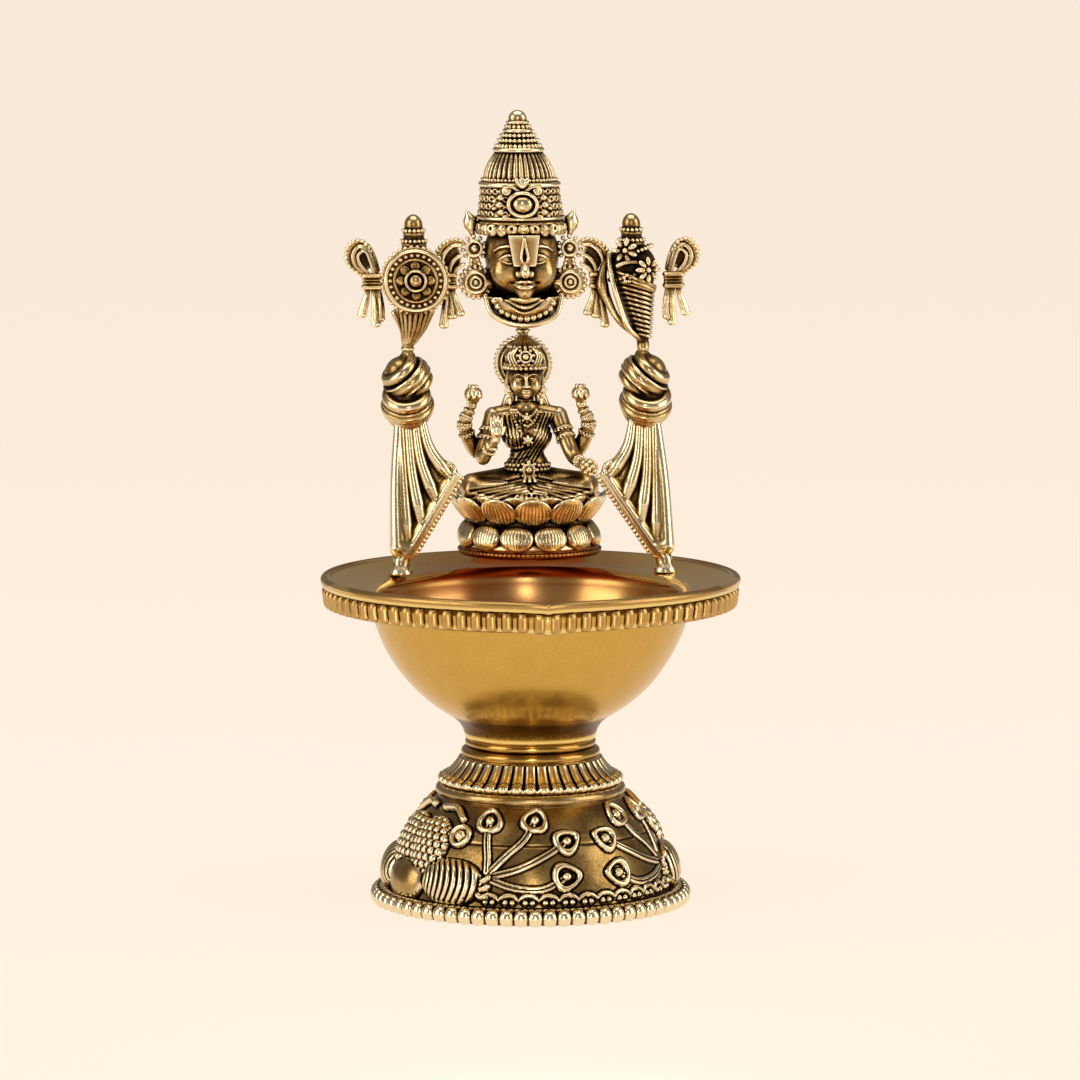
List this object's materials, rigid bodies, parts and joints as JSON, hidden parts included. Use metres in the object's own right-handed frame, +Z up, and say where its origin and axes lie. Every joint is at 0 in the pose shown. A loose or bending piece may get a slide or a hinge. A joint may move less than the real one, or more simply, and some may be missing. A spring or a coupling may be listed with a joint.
{
  "type": "standing oil lamp",
  "caption": "Small standing oil lamp in cast brass: bell foot, fluted collar, beaked oil dish and a standing group at the back.",
  "frame": {"origin": "centre of the foot's underside, on the axis that the foot, collar and dish are turned about", "axes": "+Z up, the dish's beak and the figures' faces point to -Y, +X is the figures' left-hand side"},
  "size_m": [0.0876, 0.0956, 0.1641],
  "materials": {
    "antique_brass": "cast, darkened in the recesses and buffed bright on the high spots",
    "buffed_brass": "cast, buffed bright with dark folds",
    "polished_brass": "turned and polished to a satin gloss",
    "heat_tinted_brass": "brazed and heat tinted to a copper red",
    "steel_hardware": "zinc plated"
  },
  "bodies": {
    "root": {"arm_giving": "antique_brass", "arm_raised": "antique_brass", "arm_rear_left": "antique_brass", "arm_rear_right": "antique_brass", "brow_jewel": "antique_brass", "bud_left": "antique_brass", "bud_right": "antique_brass", "bunch": "antique_brass", "clamp_nut": "steel_hardware", "clamp_washer": "steel_hardware", "conch_finial": "antique_brass", "conch_flowers": "antique_brass", "conch_shell": "antique_brass", "crown_band": "antique_brass", "crown_dome": "antique_brass", "crown_drum": "antique_brass", "crown_finial": "antique_brass", "crown_horns": "antique_brass", "crown_ring": "antique_brass", "dish": "polished_brass", "ear_trim_left": "antique_brass", "ear_trim_right": "antique_brass", "figure_crown": "antique_brass", "figure_head": "antique_brass", "figure_legs": "antique_brass", "figure_torso": "antique_brass", "fluted_collar": "antique_brass", "foot": "antique_brass", "forehead_mark": "antique_brass", "gorget": "antique_brass", "halo": "antique_brass", "knot_left": "buffed_brass", "knot_right": "buffed_brass", "link_post": "antique_brass", "lotus_lower_petals": "antique_brass", "lotus_seat": "antique_brass", "lotus_upper_petals": "antique_brass", "mask_face": "antique_brass", "neck_ring": "antique_brass", "pillar_left": "buffed_brass", "pillar_right": "buffed_brass", "plinth": "heat_tinted_brass", "ribbon_conch_inner": "antique_brass", "ribbon_conch_outer": "antique_brass", "ribbon_wheel_inner": "antique_brass", "ribbon_wheel_outer": "antique_brass", "tie_stud": "steel_hardware", "wheel": "antique_brass", "wheel_finial": "antique_brass", "wheel_hub": "antique_brass", "wheel_stem": "antique_brass"}
  },
  "joints": []
}
